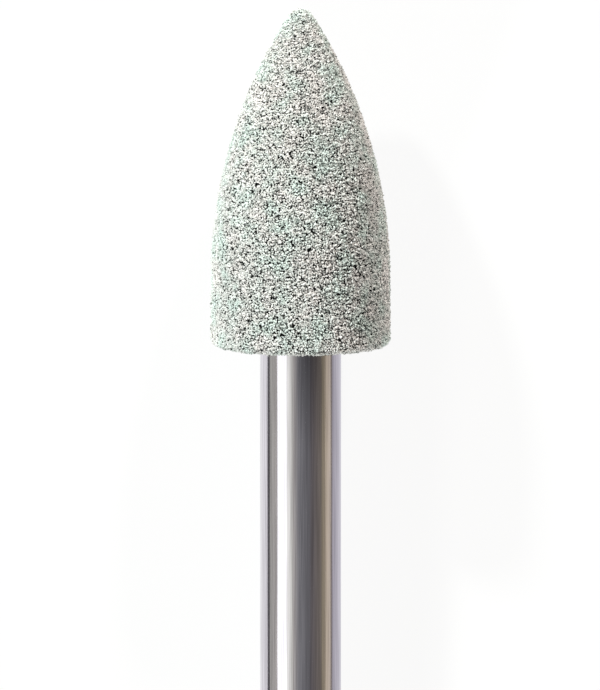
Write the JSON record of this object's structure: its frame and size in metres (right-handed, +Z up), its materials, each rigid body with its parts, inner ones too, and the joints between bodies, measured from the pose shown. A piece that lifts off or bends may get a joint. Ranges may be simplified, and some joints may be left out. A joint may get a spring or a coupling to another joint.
{
  "type": "ceramic polishing point",
  "caption": "Bullet-shaped ceramic-bonded abrasive head cemented on a plain straight steel mandrel, lying on the rim of its head and its shank's end.",
  "frame": {"origin": "bottom centre of the box round the point as it lies on a table", "axes": "+Z up from the table; +Y along the table from the shank's end to the tip of the head; +X across the tool"},
  "size_m": [0.0052, 0.0446, 0.0053],
  "materials": {
    "abrasive": "matte",
    "steel": "polished"
  },
  "bodies": {
    "root": {"abrasive_head": "abrasive", "mandrel": "steel"}
  },
  "joints": []
}
